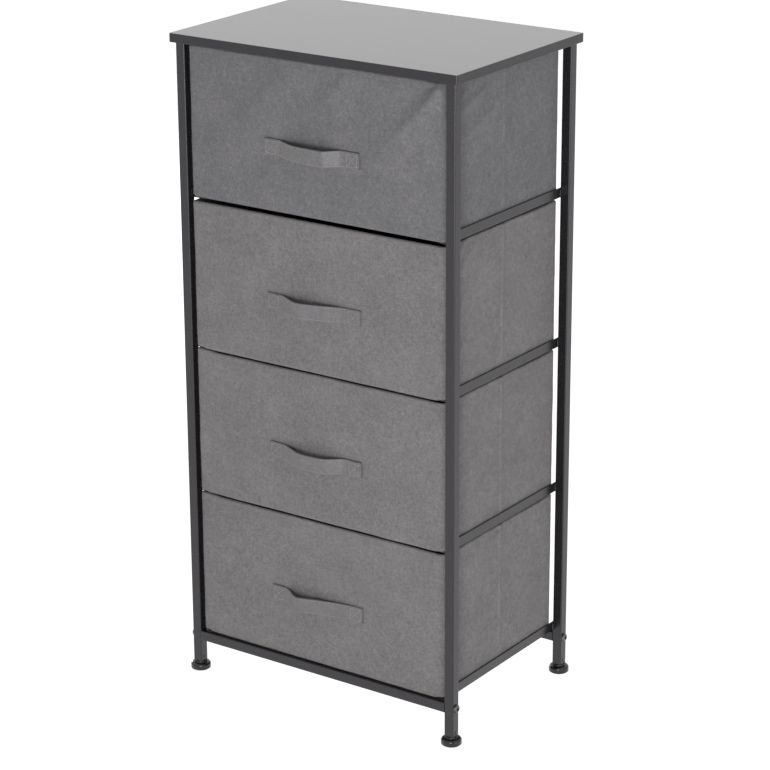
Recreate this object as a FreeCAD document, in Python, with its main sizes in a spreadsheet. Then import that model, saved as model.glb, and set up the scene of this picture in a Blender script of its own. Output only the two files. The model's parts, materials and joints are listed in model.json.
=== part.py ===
import FreeCAD, Part
import math
import os
import re

import Sketcher

# Fabric drawer dresser: a slim steel tube frame under a thin top board, four fabric bins that slide
# on bent sheet rails, a webbing strap on each bin and four levelling feet.
# Millimetres. X runs to the right seen from the front, Y to the back, Z up from the floor.
# The origin is on the floor in the middle of the overall size.

# Driving sizes

SIZES = {
    # top board
    "overall_height": 910.0,
    "top_width": 450.0,
    "top_depth": 300.0,
    "top_thickness": 12.0,
    "top_corner": 2.0,
    "top_arris": 0.5,
    "edge_band": 0.8,
    "overhang": 6.0,
    # tube frame
    "tube": 14.0,
    "tube_wall": 1.0,
    "tube_round": 1.6,
    "strip_thickness": 2.5,
    "crossbar_rise": 46.0,
    # guide rails
    "rail_leg": 14.0,
    "rail_sheet": 1.2,
    "rail_bend": 2.0,
    "rail_nose": 5.0,
    "rail_lift": 2.0,
    "rail_front_setback": 8.0,
    "rail_rear_setback": 2.0,
    # fasteners
    "bolt_diameter": 6.0,
    "bolt_reach": 26.0,
    "bolt_head_diameter": 11.5,
    "bolt_head_height": 3.2,
    "bolt_head_round": 2.2,
    "bolt_socket_flats": 4.0,
    "bolt_socket_depth": 1.9,
    "bolt_play": 0.2,
    "plug_length": 15.0,
    "thread_play": 0.05,
    "screw_diameter": 3.6,
    "screw_bite": 8.0,
    "screw_point": 2.0,
    "screw_head_diameter": 7.6,
    "screw_head_height": 2.2,
    "screw_head_round": 1.4,
    "screw_inset": 40.0,
    # levelling feet
    "foot_diameter": 28.0,
    "foot_thickness": 9.5,
    "foot_round": 3.4,
    "foot_heel": 1.4,
    "collar_diameter": 18.0,
    "collar_height": 2.8,
    "collar_round": 1.0,
    "stud_diameter": 6.0,
    "stud_length": 20.0,
    "stud_tip": 0.8,
    "insert_flange": 1.5,
    "insert_length": 22.0,
    # fabric bins
    "drawer_recess": 6.0,
    "drawer_side_gap": 1.8,
    "drawer_rear_gap": 3.0,
    "drawer_head_gap": 2.6,
    "run_gap": 0.2,
    "skin": 1.0,
    "skin_corner": 2.0,
    "stiffener": 2.5,
    "card_end_play": 6.0,
    "card_foot_play": 4.0,
    "card_rim_play": 3.0,
    "lining": 0.8,
    "hem_depth": 14.0,
    "base_board": 3.0,
    "base_play": 1.0,
    "fold_gap": 4.0,
    "seam_width": 1.2,
    "seam_depth": 0.4,
    # strap handles
    "strap_length": 150.0,
    "strap_width": 22.0,
    "strap_thickness": 2.0,
    "strap_end": 22.0,
    "strap_bow": 14.0,
    "strap_rise": 76.0,
    "strap_shift": 4.0,
    # cuts run past the face they start from by this much
    "overrun": 2.0,
}

LEVELS = 4

# Where along its free span each strap stands out furthest, drawer 1 (the top one) first
STRAP_PEAK_SHARES = (0.70, 0.54, 0.50, 0.32)

# Places that follow from the sizes

PLACES = {
    "rear_reach": "max(top_depth / 2; post_y + foot_diameter / 2)",
    "front_reach": "max(rear_reach; frame_y - drawer_recess + strap_bow + strap_thickness)",
    "top_mid_y": "(front_reach - rear_reach) / 2",
    "top_underside": "overall_height - top_thickness",
    "frame_x": "top_width / 2 - overhang",
    "frame_y": "top_depth / 2 - overhang",
    "inner_x": "frame_x - tube",
    "post_x": "frame_x - tube / 2",
    "post_y": "frame_y - tube / 2",
    "front_y": "top_mid_y - frame_y",
    "post_top": "top_underside - strip_thickness",
    "post_bottom": "foot_thickness + collar_height + insert_flange",
    "bore": "tube - 2 * tube_wall",
    "bore_round": "tube_round - tube_wall",
    "crossbar_axis": "crossbar_rise + tube / 2",
    "bolt_hole": "bolt_diameter + 2 * bolt_play",
    "plug_side": "bore - 2 * thread_play",
    "screw_hole": "screw_diameter + 2 * thread_play",
    "screw_y": "post_y - screw_inset",
    "rail_length": "2 * frame_y - rail_front_setback - rail_rear_setback",
    "rail_base": "crossbar_rise + tube + rail_lift",
    "level_pitch": f"(top_underside - rail_base) / {LEVELS}",
    "bin_half": "inner_x - rail_sheet - drawer_side_gap",
    "bin_depth": "2 * frame_y - drawer_recess - tube - drawer_rear_gap",
    "bin_height": "level_pitch - rail_sheet - run_gap - drawer_head_gap",
    "bin_front_y": "front_y + drawer_recess",
    "card_inset": "skin + stiffener",
    "hem_inset": "card_inset + skin",
    "lining_inset": "card_inset + lining",
    "hem_underside": "bin_height - hem_depth",
    "card_height": "bin_height - 2 * skin - card_foot_play - card_rim_play",
    "card_end": "skin + card_end_play",
    "base_inset": "lining_inset + base_play",
}

doc = FreeCAD.newDocument("fabric_drawer_dresser")
sheet = doc.addObject("Spreadsheet::Sheet", "sizes")
for row, (alias, number) in enumerate(SIZES.items(), start=1):
    sheet.set(f"A{row}", alias)
    sheet.set(f"B{row}", str(number))
    sheet.setAlias(f"B{row}", alias)
doc.recompute()


# Shared construction steps

def formula(text):
    """Write out named places in full and point every size at its cell in the sheet."""
    def written_out(match):
        word = match.group(0)
        if word in PLACES:
            return f"({formula(PLACES[word])})"
        if word in SIZES:
            return f"sizes.{word}"
        return word
    return re.sub(r"[a-z][a-z_]*", written_out, text)


def bind(item, prop, text):
    item.setExpression(prop, formula(text))


def place(item, x="0", y="0", z="0"):
    for axis, text in zip("xyz", (x, y, z)):
        bind(item, f"Placement.Base.{axis}", text)


def new_body(label):
    body = doc.addObject("PartDesign::Body", label)
    body.Label = label
    return body


def new_sketch(body, plane, height="0"):
    """An empty sketch on one of the body's origin planes, lifted along the plane's normal."""
    sketch = body.newObject("Sketcher::SketchObject", f"{body.Label}_sketch")
    for feature in body.Origin.OriginFeatures:
        if feature.Role == plane:
            sketch.AttachmentSupport = (feature, "")
    sketch.MapMode = "FlatFace"
    bind(sketch, "AttachmentOffset.Base.z", height)
    return sketch


def pin(sketch, edge, end, x, y):
    """Tie one end (or the centre) of a sketch edge to a place measured from the sketch origin."""
    here = sketch.getPoint(edge, end)
    for kind, axis, drawn, text in (("DistanceX", -2, here.x, x), ("DistanceY", -1, here.y, y)):
        if text == "0":
            sketch.addConstraint(Sketcher.Constraint("PointOnObject", edge, end, axis))
            continue
        index = sketch.addConstraint(Sketcher.Constraint(kind, -1, 1, edge, end, drawn))
        bind(sketch, f"Constraints[{index}]", text)


def draw_outline(sketch, corners):
    """A closed outline of straight edges whose corners are all tied to named places."""
    count = len(corners)
    turn = 2 * math.pi / count
    start = [FreeCAD.Vector(math.cos(turn * i), math.sin(turn * i), 0) for i in range(count)]
    first = sketch.GeometryCount
    for i in range(count):
        sketch.addGeometry(Part.LineSegment(start[i], start[(i + 1) % count]), False)
    for i, (x, y) in enumerate(corners):
        before = first + (i - 1) % count
        sketch.addConstraint(Sketcher.Constraint("Coincident", before, 2, first + i, 1))
        pin(sketch, first + i, 1, x, y)


def draw_rectangle(sketch, left, right, low, high):
    draw_outline(sketch, ((left, low), (right, low), (right, high), (left, high)))


def draw_centred(sketch, width, depth):
    half_x = f"({width}) / 2"
    half_y = f"({depth}) / 2"
    draw_rectangle(sketch, f"-{half_x}", half_x, f"-{half_y}", half_y)


def draw_circle(sketch, x, y, diameter):
    unit_circle = Part.Circle()
    edge = sketch.addGeometry(unit_circle, False)
    pin(sketch, edge, 3, x, y)
    index = sketch.addConstraint(Sketcher.Constraint("Diameter", edge, 2 * unit_circle.Radius))
    bind(sketch, f"Constraints[{index}]", diameter)


def add_pad(body, sketch, length, reverse=False):
    pad = body.newObject("PartDesign::Pad", f"{body.Label}_pad")
    pad.Profile = sketch
    pad.Reversed = reverse
    bind(pad, "Length", length)
    doc.recompute()
    return pad


def add_pocket(body, sketch, depth, reverse=False):
    """Cut a sketch into the body and make sure that the cut meets it."""
    before = body.Shape.Volume
    pocket = body.newObject("PartDesign::Pocket", f"{body.Label}_pocket")
    pocket.Profile = sketch
    pocket.Reversed = reverse
    bind(pocket, "Length", depth)
    doc.recompute()
    if not body.Shape.Volume < before:
        raise RuntimeError(f"a pocket of {body.Label} cuts nothing")
    return pocket


def add_revolution(body, sketch, axis):
    turn = body.newObject("PartDesign::Revolution", f"{body.Label}_revolution")
    turn.Profile = sketch
    turn.ReferenceAxis = (sketch, [axis])
    turn.Angle = 360.0
    doc.recompute()
    return turn


def edge_names(body, wanted):
    return [f"Edge{i}" for i, edge in enumerate(body.Shape.Edges, start=1) if wanted(edge)]


def add_fillet(body, radius, wanted):
    """Round every edge of the body's present shape that the test picks out."""
    names = edge_names(body, wanted)
    tip = body.Tip
    fillet = body.newObject("PartDesign::Fillet", f"{body.Label}_fillet")
    fillet.Base = (tip, names)
    bind(fillet, "Radius", radius)
    doc.recompute()
    return fillet


NEAR = 1e-4


def runs_along(axis):
    """A test for straight edges parallel to an axis."""
    def wanted(edge):
        if not isinstance(edge.Curve, Part.Line):
            return False
        return abs(abs(edge.Curve.Direction.dot(axis)) - 1) < NEAR
    return wanted


def is_ring(axis, height, diameter):
    """A test for full circles round an axis at a height along it."""
    def wanted(edge):
        if not isinstance(edge.Curve, Part.Circle):
            return False
        same_height = abs(edge.Curve.Center.dot(axis) - height) < NEAR
        return same_height and abs(2 * edge.Curve.Radius - diameter) < NEAR
    return wanted


def is_at(edge, x, z):
    return abs(edge.CenterOfMass.x - x) < NEAR and abs(edge.CenterOfMass.z - z) < NEAR


ALONG_X = FreeCAD.Vector(1, 0, 0)
ALONG_Y = FreeCAD.Vector(0, 1, 0)
ALONG_Z = FreeCAD.Vector(0, 0, 1)

nodes = []


def add_group(label, pieces):
    group = doc.addObject("Part::Compound", label)
    group.Label = label
    group.Links = pieces
    doc.recompute()
    nodes.append(group)


def add_board(label, length, width, height, x, y, z):
    board = doc.addObject("Part::Box", label)
    board.Label = label
    bind(board, "Length", length)
    bind(board, "Width", width)
    bind(board, "Height", height)
    place(board, x, y, z)
    doc.recompute()
    return board


# Top board

SIDES = (("left", -1), ("right", 1))
ENDS = (("front", -1), ("rear", 1))
CORNERS = tuple((end, side, y, x) for end, y in ENDS for side, x in SIDES)


def make_top_board():
    body = new_body("top_board")
    sketch = new_sketch(body, "XY_Plane")
    draw_centred(sketch, "top_width - 2 * edge_band", "top_depth - 2 * edge_band")
    add_pad(body, sketch, "top_thickness")
    add_fillet(body, "top_corner - edge_band", runs_along(ALONG_Z))
    holes = new_sketch(body, "XY_Plane")
    for end, side, y, x in CORNERS:
        draw_circle(holes, f"{x} * post_x", f"{y} * screw_y", "screw_hole")
    add_pocket(body, holes, "screw_bite + thread_play", reverse=True)
    place(body, "0", "top_mid_y", "top_underside")
    nodes.append(body)


def make_top_edge_band():
    body = new_body("top_edge_band")
    outer = new_sketch(body, "XY_Plane")
    draw_centred(outer, "top_width", "top_depth")
    add_pad(body, outer, "top_thickness")
    upright = runs_along(ALONG_Z)
    add_fillet(body, "top_corner", upright)
    inner = new_sketch(body, "XY_Plane", "-overrun")
    draw_centred(inner, "top_width - 2 * edge_band", "top_depth - 2 * edge_band")
    add_pocket(body, inner, "top_thickness + 2 * overrun", reverse=True)
    half_x = SIZES["top_width"] / 2
    half_y = SIZES["top_depth"] / 2

    def is_inner_corner(edge):
        away = half_x - abs(edge.CenterOfMass.x)
        return upright(edge) and abs(away - SIZES["edge_band"]) < NEAR

    def is_outer_arris(edge):
        if isinstance(edge.Curve, Part.Circle):
            return abs(edge.Curve.Radius - SIZES["top_corner"]) < NEAR
        middle = edge.CenterOfMass
        at_face = min(abs(half_x - abs(middle.x)), abs(half_y - abs(middle.y))) < NEAR
        return at_face and not upright(edge)

    add_fillet(body, "top_corner - edge_band", is_inner_corner)
    add_fillet(body, "top_arris", is_outer_arris)
    place(body, "0", "top_mid_y", "top_underside")
    nodes.append(body)


# Tube frame

def make_tube(label, plane, length, axis):
    """A square tube with rounded edges that starts on one of its origin planes."""
    body = new_body(label)
    outer = new_sketch(body, plane)
    draw_centred(outer, "tube", "tube")
    add_pad(body, outer, length)
    add_fillet(body, "tube_round", runs_along(axis))
    inner = new_sketch(body, plane, "-overrun")
    draw_centred(inner, "bore", "bore")
    add_pocket(body, inner, f"{length} + 2 * overrun", reverse=True)
    half = SIZES["tube"] / 2 - SIZES["tube_wall"]
    along = runs_along(axis)

    def is_bore_corner(edge):
        corner = edge.CenterOfMass - axis * edge.CenterOfMass.dot(axis)
        return along(edge) and abs(corner.Length - half * math.sqrt(2)) < NEAR
    add_fillet(body, "bore_round", is_bore_corner)
    return body


def make_posts():
    for end, side, y, x in CORNERS:
        body = make_tube(f"post_{end}_{side}", "XY_Plane", "post_top - post_bottom", ALONG_Z)
        hole = new_sketch(body, "YZ_Plane", "-tube / 2 - overrun")
        draw_circle(hole, "0", "crossbar_axis - post_bottom", "bolt_hole")
        add_pocket(body, hole, "tube + 2 * overrun", reverse=True)
        place(body, f"{x} * post_x", f"top_mid_y + {y} * post_y", "post_bottom")
        nodes.append(body)


def make_crossbars():
    for end, y in ENDS:
        body = make_tube(f"crossbar_{end}", "YZ_Plane", "2 * inner_x", ALONG_X)
        place(body, "-inner_x", f"top_mid_y + {y} * post_y", "crossbar_axis")
        nodes.append(body)


def make_top_strips():
    for side, x in SIDES:
        body = new_body(f"top_strip_{side}")
        sketch = new_sketch(body, "XY_Plane")
        draw_centred(sketch, "tube", "2 * frame_y")
        add_pad(body, sketch, "strip_thickness")
        add_fillet(body, "tube_round", runs_along(ALONG_Z))
        holes = new_sketch(body, "XY_Plane", "-overrun")
        for end, y in ENDS:
            draw_circle(holes, "0", f"{y} * screw_y", "screw_hole")
        add_pocket(body, holes, "strip_thickness + 2 * overrun", reverse=True)
        place(body, f"{x} * post_x", "top_mid_y", "post_top")
        nodes.append(body)


def make_rails():
    """Bent sheet angles: an upright leg on the posts' inner faces and a shelf leg under the bin."""
    for level in range(LEVELS):
        for side, x in SIDES:
            body = new_body(f"rail_{side}_{LEVELS - level}")
            sketch = new_sketch(body, "XZ_Plane")
            corners = (
                ("0", "0"),
                (f"{-x} * rail_leg", "0"),
                (f"{-x} * rail_leg", "rail_sheet"),
                (f"{-x} * rail_sheet", "rail_sheet"),
                (f"{-x} * rail_sheet", "rail_leg"),
                ("0", "rail_leg"),
            )
            draw_outline(sketch, corners)
            add_pad(body, sketch, "rail_length", reverse=True)
            along = runs_along(ALONG_Y)
            add_fillet(body, "rail_bend", lambda edge: along(edge) and is_at(edge, 0, 0))
            sheet_x = -x * SIZES["rail_sheet"]
            sheet_z = SIZES["rail_sheet"]
            add_fillet(body, "rail_bend - rail_sheet",
                       lambda edge: along(edge) and is_at(edge, sheet_x, sheet_z))
            across = runs_along(ALONG_X)
            leg = SIZES["rail_leg"]
            add_fillet(body, "rail_nose",
                       lambda edge: across(edge) and abs(edge.CenterOfMass.z - leg) < NEAR)
            place(body, f"{x} * inner_x", "front_y + rail_front_setback",
                  f"rail_base + {level} * level_pitch")
            nodes.append(body)


# Fasteners

def make_bolt(label):
    """A round-headed bolt along X with its head on the negative side of the origin."""
    body = new_body(label)
    profile = new_sketch(body, "XZ_Plane")
    corners = (
        ("-bolt_head_height", "0"),
        ("bolt_reach", "0"),
        ("bolt_reach", "bolt_diameter / 2"),
        ("0", "bolt_diameter / 2"),
        ("0", "bolt_head_diameter / 2"),
        ("-bolt_head_height", "bolt_head_diameter / 2"),
    )
    draw_outline(profile, corners)
    add_revolution(body, profile, "H_Axis")
    crown = is_ring(ALONG_X, -SIZES["bolt_head_height"], SIZES["bolt_head_diameter"])
    add_fillet(body, "bolt_head_round", crown)
    socket = new_sketch(body, "YZ_Plane", "-bolt_head_height")
    flats = "bolt_socket_flats / 2"
    point = f"{flats} / cos(30)"
    corners = (
        (point, "0"),
        (f"{point} / 2", flats),
        (f"-{point} / 2", flats),
        (f"-{point}", "0"),
        (f"-{point} / 2", f"-{flats}"),
        (f"{point} / 2", f"-{flats}"),
    )
    draw_outline(socket, corners)
    add_pocket(body, socket, "bolt_socket_depth", reverse=True)
    return body


def make_nut_plug(label):
    """A square plug that fills a crossbar's end and takes the bolt."""
    body = new_body(label)
    sketch = new_sketch(body, "YZ_Plane")
    draw_centred(sketch, "plug_side", "plug_side")
    add_pad(body, sketch, "plug_length")
    add_fillet(body, "bore_round", runs_along(ALONG_X))
    hole = new_sketch(body, "YZ_Plane", "-overrun")
    draw_circle(hole, "0", "0", "bolt_diameter + 2 * thread_play")
    add_pocket(body, hole, "plug_length + 2 * overrun", reverse=True)
    return body


def make_screw(label):
    """A round-headed wood screw, point up, with its head below the origin."""
    body = new_body(label)
    profile = new_sketch(body, "XZ_Plane")
    reach = "strip_thickness + screw_bite"
    corners = (
        ("0", "-screw_head_height"),
        ("screw_head_diameter / 2", "-screw_head_height"),
        ("screw_head_diameter / 2", "0"),
        ("screw_diameter / 2", "0"),
        ("screw_diameter / 2", f"{reach} - screw_point"),
        ("0", reach),
    )
    draw_outline(profile, corners)
    add_revolution(body, profile, "V_Axis")
    crown = is_ring(ALONG_Z, -SIZES["screw_head_height"], SIZES["screw_head_diameter"])
    add_fillet(body, "screw_head_round", crown)
    return body


def turn_to_side(body, x):
    """Pieces drawn for the left side are turned half round for the right."""
    if x > 0:
        body.Placement.Rotation = FreeCAD.Rotation(ALONG_Z, 180)


def make_fasteners():
    bolts = []
    plugs = []
    screws = []
    for end, side, y, x in CORNERS:
        bolt = make_bolt(f"bolt_{end}_{side}")
        turn_to_side(bolt, x)
        place(bolt, f"{x} * frame_x", f"top_mid_y + {y} * post_y", "crossbar_axis")
        bolts.append(bolt)
        plug = make_nut_plug(f"nut_plug_{end}_{side}")
        turn_to_side(plug, x)
        place(plug, f"{x} * inner_x", f"top_mid_y + {y} * post_y", "crossbar_axis")
        plugs.append(plug)
        screw = make_screw(f"screw_{end}_{side}")
        place(screw, f"{x} * post_x", f"top_mid_y + {y} * screw_y", "post_top")
        screws.append(screw)
    add_group("crossbar_bolts", bolts)
    add_group("crossbar_nut_plugs", plugs)
    add_group("top_screws", screws)


# Levelling feet

def make_foot_insert(label):
    """A flanged plug in the post's lower end with a bore for the foot's stud."""
    body = new_body(label)
    flange = new_sketch(body, "XY_Plane", "-insert_flange")
    draw_centred(flange, "tube", "tube")
    add_pad(body, flange, "insert_flange")
    add_fillet(body, "tube_round", runs_along(ALONG_Z))
    plug = new_sketch(body, "XY_Plane")
    draw_centred(plug, "plug_side", "plug_side")
    add_pad(body, plug, "insert_length")
    half = (SIZES["tube"] / 2 - SIZES["tube_wall"]) - SIZES["thread_play"]
    upright = runs_along(ALONG_Z)

    def is_plug_corner(edge):
        on_side = abs(abs(edge.CenterOfMass.x) - half) < NEAR
        return upright(edge) and on_side and edge.CenterOfMass.z > 0
    add_fillet(body, "bore_round", is_plug_corner)
    hole = new_sketch(body, "XY_Plane", "-insert_flange - overrun")
    draw_circle(hole, "0", "0", "stud_diameter + 2 * thread_play")
    add_pocket(body, hole, "insert_flange + insert_length + 2 * overrun", reverse=True)
    return body


def make_foot(label):
    """A turned foot: broad pad, narrower collar and the stud that screws into the post."""
    body = new_body(label)
    profile = new_sketch(body, "XZ_Plane")
    collar_top = "foot_thickness + collar_height"
    stud_top = f"{collar_top} + stud_length"
    corners = (
        ("0", "0"),
        ("foot_diameter / 2 - foot_heel", "0"),
        ("foot_diameter / 2", "foot_heel"),
        ("foot_diameter / 2", "foot_thickness"),
        ("collar_diameter / 2", "foot_thickness"),
        ("collar_diameter / 2", collar_top),
        ("stud_diameter / 2", collar_top),
        ("stud_diameter / 2", f"{stud_top} - stud_tip"),
        ("stud_diameter / 2 - stud_tip", stud_top),
        ("0", stud_top),
    )
    draw_outline(profile, corners)
    add_revolution(body, profile, "V_Axis")
    shoulder = is_ring(ALONG_Z, SIZES["foot_thickness"], SIZES["foot_diameter"])
    add_fillet(body, "foot_round", shoulder)
    collar_rim = SIZES["foot_thickness"] + SIZES["collar_height"]
    add_fillet(body, "collar_round", is_ring(ALONG_Z, collar_rim, SIZES["collar_diameter"]))
    return body


def make_feet():
    inserts = []
    for end, side, y, x in CORNERS:
        insert = make_foot_insert(f"insert_{end}_{side}")
        place(insert, f"{x} * post_x", f"top_mid_y + {y} * post_y", "post_bottom")
        inserts.append(insert)
        foot = make_foot(f"foot_{end}_{side}")
        place(foot, f"{x} * post_x", f"top_mid_y + {y} * post_y")
        nodes.append(foot)
    add_group("foot_inserts", inserts)


# Fabric bins
# Each bin is drawn with its front face on Y = 0 and its underside on Z = 0.

def draw_inset(sketch, inset):
    """The bin's outline in plan, moved in from its outer faces."""
    draw_rectangle(sketch, f"-(bin_half - ({inset}))", f"bin_half - ({inset})",
                   inset, f"bin_depth - ({inset})")


def make_skin(label):
    """Outer fabric: a box open at the top whose rim turns inward and down as a hem."""
    body = new_body(label)
    outer = new_sketch(body, "XY_Plane")
    draw_rectangle(outer, "-bin_half", "bin_half", "0", "bin_depth")
    add_pad(body, outer, "bin_height")
    add_fillet(body, "skin_corner", runs_along(ALONG_Z))
    room = new_sketch(body, "XY_Plane", "skin")
    draw_inset(room, "hem_inset")
    add_pocket(body, room, "bin_height + overrun", reverse=True)
    below_hem = new_sketch(body, "XY_Plane", "skin")
    draw_inset(below_hem, "skin")
    add_pocket(body, below_hem, "hem_underside - skin", reverse=True)
    in_hem = new_sketch(body, "XY_Plane", "hem_underside")
    draw_inset(in_hem, "skin")
    draw_inset(in_hem, "card_inset")
    add_pocket(body, in_hem, "hem_depth - skin", reverse=True)
    seams = new_sketch(body, "XY_Plane", "-overrun")
    near_y = "bin_depth / 2 - seam_width / 2"
    far_y = "bin_depth / 2 + seam_width / 2"
    draw_rectangle(seams, "bin_half - seam_depth", "bin_half + overrun", near_y, far_y)
    draw_rectangle(seams, "-bin_half - overrun", "-bin_half + seam_depth", near_y, far_y)
    add_pocket(body, seams, "bin_height + 2 * overrun", reverse=True)
    return body


def make_lining(label):
    body = new_body(label)
    outer = new_sketch(body, "XY_Plane", "skin")
    draw_inset(outer, "card_inset")
    add_pad(body, outer, "hem_underside - skin")
    room = new_sketch(body, "XY_Plane", "skin + lining")
    draw_inset(room, "lining_inset")
    add_pocket(body, room, "bin_height", reverse=True)
    return body


def make_strap(label, peak_share):
    """Flat webbing with two sewn-down ends and a middle that stands off the bin's front.

    The path leaves the front in one pair of equal arcs and comes back in another.
    """
    end = SIZES["strap_end"]
    bow = SIZES["strap_bow"]
    length = SIZES["strap_length"]
    rise = (length - 2 * end) * peak_share
    fall = (length - 2 * end) * (1 - peak_share)
    peak = end + rise
    rise_radius = (rise ** 2 + bow ** 2) / (4 * bow)
    fall_radius = (fall ** 2 + bow ** 2) / (4 * bow)
    rise_angle = math.asin(rise / 2 / rise_radius)
    fall_angle = math.asin(fall / 2 / fall_radius)
    quarter = math.pi / 2

    def point(x, y):
        return FreeCAD.Vector(x, y, 0)

    def arc(x, y, radius, start, stop):
        return Part.ArcOfCircle(Part.Circle(point(x, y), ALONG_Z, radius), start, stop)

    body = new_body(label)
    path = new_sketch(body, "XY_Plane")
    path.addGeometry([
        Part.LineSegment(point(0, 0), point(end, 0)),
        arc(end, -rise_radius, rise_radius, quarter - rise_angle, quarter),
        arc(peak, rise_radius - bow, rise_radius, -quarter - rise_angle, -quarter),
        arc(peak, fall_radius - bow, fall_radius, -quarter, -quarter + fall_angle),
        arc(length - end, -fall_radius, fall_radius, quarter, quarter + fall_angle),
        Part.LineSegment(point(length - end, 0), point(length, 0)),
    ], False)
    for ends in ((0, 2, 1, 2), (1, 1, 2, 1), (2, 2, 3, 1), (3, 2, 4, 2), (4, 1, 5, 1)):
        path.addConstraint(Sketcher.Constraint("Tangent", *ends))
    path.addConstraint(Sketcher.Constraint("Coincident", 0, 1, -1, 1))
    path.addConstraint(Sketcher.Constraint("Horizontal", 0))
    path.addConstraint(Sketcher.Constraint("Equal", 1, 2))
    path.addConstraint(Sketcher.Constraint("Equal", 3, 4))
    path.addConstraint(Sketcher.Constraint("Vertical", 2, 3, 2, 2))
    pin(path, 2, 2, f"strap_end + (strap_length - 2 * strap_end) * {peak_share}", "-strap_bow")
    pin(path, 5, 2, "strap_length", "0")
    for edge, low, high in ((0, 1, 2), (5, 1, 2)):
        index = path.addConstraint(Sketcher.Constraint("DistanceX", edge, low, edge, high, end))
        bind(path, f"Constraints[{index}]", "strap_end")
    profile = new_sketch(body, "YZ_Plane")
    draw_rectangle(profile, "-strap_thickness", "0", "0", "strap_width")
    doc.recompute()
    sweep = body.newObject("PartDesign::AdditivePipe", f"{label}_sweep")
    sweep.Profile = profile
    sweep.Spine = path
    doc.recompute()
    return body


def make_drawer(number):
    level = LEVELS - number
    name = f"drawer_{number}"
    floor_z = f"rail_base + {level} * level_pitch + rail_sheet + run_gap"
    card_z = f"{floor_z} + skin + card_foot_play"
    for body in (make_skin(f"{name}_skin"), make_lining(f"{name}_lining")):
        place(body, "0", "bin_front_y", floor_z)
        nodes.append(body)
    card_x = "-(bin_half - card_end)"
    card_width = "2 * (bin_half - card_end)"
    for label, y in (("front", "skin"), ("back", "bin_depth - card_inset")):
        board = add_board(f"{name}_{label}_board", card_width, "stiffener", "card_height",
                          card_x, f"bin_front_y + {y}", card_z)
        nodes.append(board)
    half_length = "(bin_depth - 2 * card_end - fold_gap) / 2"
    for side, x in (("left", "-(bin_half - skin)"), ("right", "bin_half - card_inset")):
        halves = []
        for half, y in (("front", "card_end"), ("rear", f"card_end + {half_length} + fold_gap")):
            halves.append(add_board(f"{name}_{side}_{half}_half", "stiffener", half_length,
                                    "card_height", x, f"bin_front_y + {y}", card_z))
        add_group(f"{name}_{side}_boards", halves)
    base = add_board(f"{name}_base_board", "2 * (bin_half - base_inset)",
                     "bin_depth - 2 * base_inset", "base_board", "-(bin_half - base_inset)",
                     "bin_front_y + base_inset", f"{floor_z} + skin + lining")
    nodes.append(base)
    strap = make_strap(f"{name}_strap", STRAP_PEAK_SHARES[number - 1])
    place(strap, "-strap_length / 2 - strap_shift", "bin_front_y", f"{floor_z} + strap_rise")
    nodes.append(strap)


make_top_board()
make_top_edge_band()
make_posts()
make_crossbars()
make_top_strips()
make_rails()
make_fasteners()
make_feet()
for number in range(1, LEVELS + 1):
    make_drawer(number)
doc.recompute()

# Every piece has to be sound before it is written out

for item in doc.Objects:
    if "Invalid" in item.State or "Error" in item.State:
        raise RuntimeError(f"{item.Label} did not build")
os.makedirs("parts", exist_ok=True)
for node in nodes:
    if node.Shape.isNull() or not node.Shape.isValid():
        raise RuntimeError(f"{node.Label} has no sound shape")
    node.Shape.exportStep(f"parts/{node.Label}.step")
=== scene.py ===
import json
import math

import bpy
from mathutils import Matrix, Vector, noise


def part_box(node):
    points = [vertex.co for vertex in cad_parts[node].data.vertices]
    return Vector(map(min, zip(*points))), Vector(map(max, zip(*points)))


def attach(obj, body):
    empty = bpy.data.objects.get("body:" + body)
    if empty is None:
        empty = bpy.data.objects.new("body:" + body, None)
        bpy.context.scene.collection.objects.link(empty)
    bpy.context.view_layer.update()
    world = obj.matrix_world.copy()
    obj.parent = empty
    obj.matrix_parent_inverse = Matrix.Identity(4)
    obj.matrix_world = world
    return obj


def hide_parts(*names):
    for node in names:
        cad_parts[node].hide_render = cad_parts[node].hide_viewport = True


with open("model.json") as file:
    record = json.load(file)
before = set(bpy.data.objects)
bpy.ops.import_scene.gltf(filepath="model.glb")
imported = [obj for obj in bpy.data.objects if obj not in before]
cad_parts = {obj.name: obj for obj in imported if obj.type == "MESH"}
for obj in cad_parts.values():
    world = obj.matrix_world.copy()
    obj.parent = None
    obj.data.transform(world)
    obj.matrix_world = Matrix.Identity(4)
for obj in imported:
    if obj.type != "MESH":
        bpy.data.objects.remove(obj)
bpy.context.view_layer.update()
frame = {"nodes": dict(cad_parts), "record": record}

nodes = frame["nodes"]

MM = 0.001
DRAWERS = (1, 2, 3, 4)


# Materials: every colour is written as the shade it shows in daylight

def shade(code):
    """Linear colour of a six-digit sRGB code."""
    parts = [int(code[i:i + 2], 16) / 255 for i in (0, 2, 4)]
    linear = [c / 12.92 if c <= 0.04045 else ((c + 0.055) / 1.055) ** 2.4 for c in parts]
    return (*linear, 1.0)


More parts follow.
